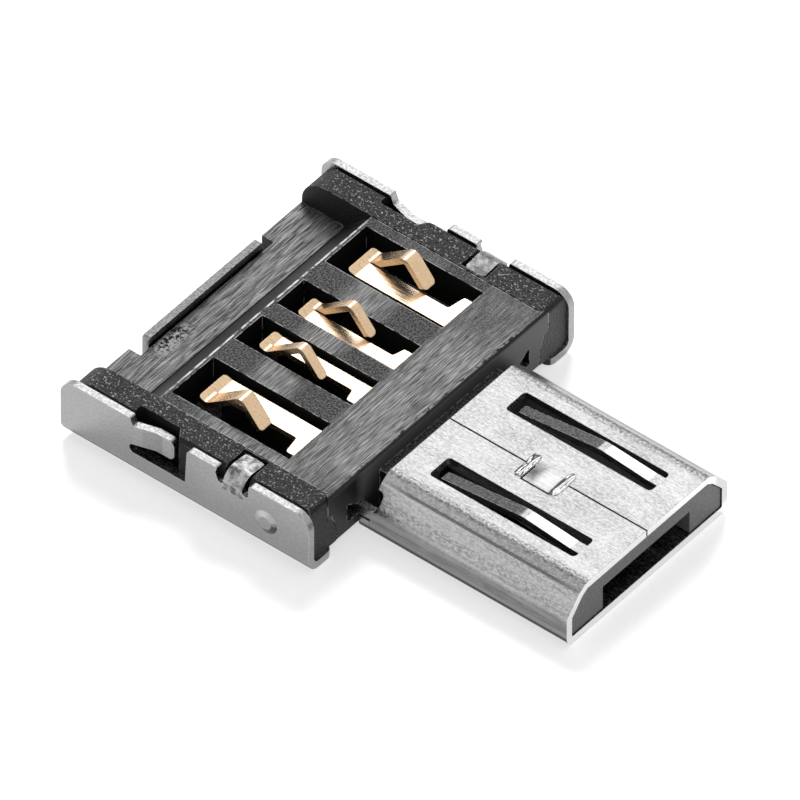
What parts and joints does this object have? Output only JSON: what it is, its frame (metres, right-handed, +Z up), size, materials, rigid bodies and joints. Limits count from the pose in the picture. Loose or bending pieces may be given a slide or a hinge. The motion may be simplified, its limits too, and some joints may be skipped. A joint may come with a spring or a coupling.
{
  "type": "usb otg adapter",
  "caption": "Slim on-the-go adapter: a folded steel tray holding a moulded slab with gold spring contacts, ending in a micro plug",
  "frame": {"origin": "On the flat underside, on the centre line, in the plane of the slab's front face where the plug begins", "axes": "+X to the plug's tip, +Z up through the contact side, +Y to the left seen from the rear"},
  "size_m": [0.0157, 0.0114, 0.0026],
  "materials": {
    "shell_steel": "satin nickel-plated steel",
    "grained_plastic": "grained black moulding",
    "brushed_plastic": "black moulding with a brushed top",
    "plug_plastic": "dark grey moulding",
    "contact_gold": "polished gold flash"
  },
  "bodies": {
    "root": {"metal_shell": "shell_steel", "carrier": "grained_plastic", "contact_block": "brushed_plastic", "plug_insulator": "plug_plastic", "contact_1": "contact_gold", "contact_2": "contact_gold", "contact_3": "contact_gold", "contact_4": "contact_gold"}
  },
  "joints": []
}
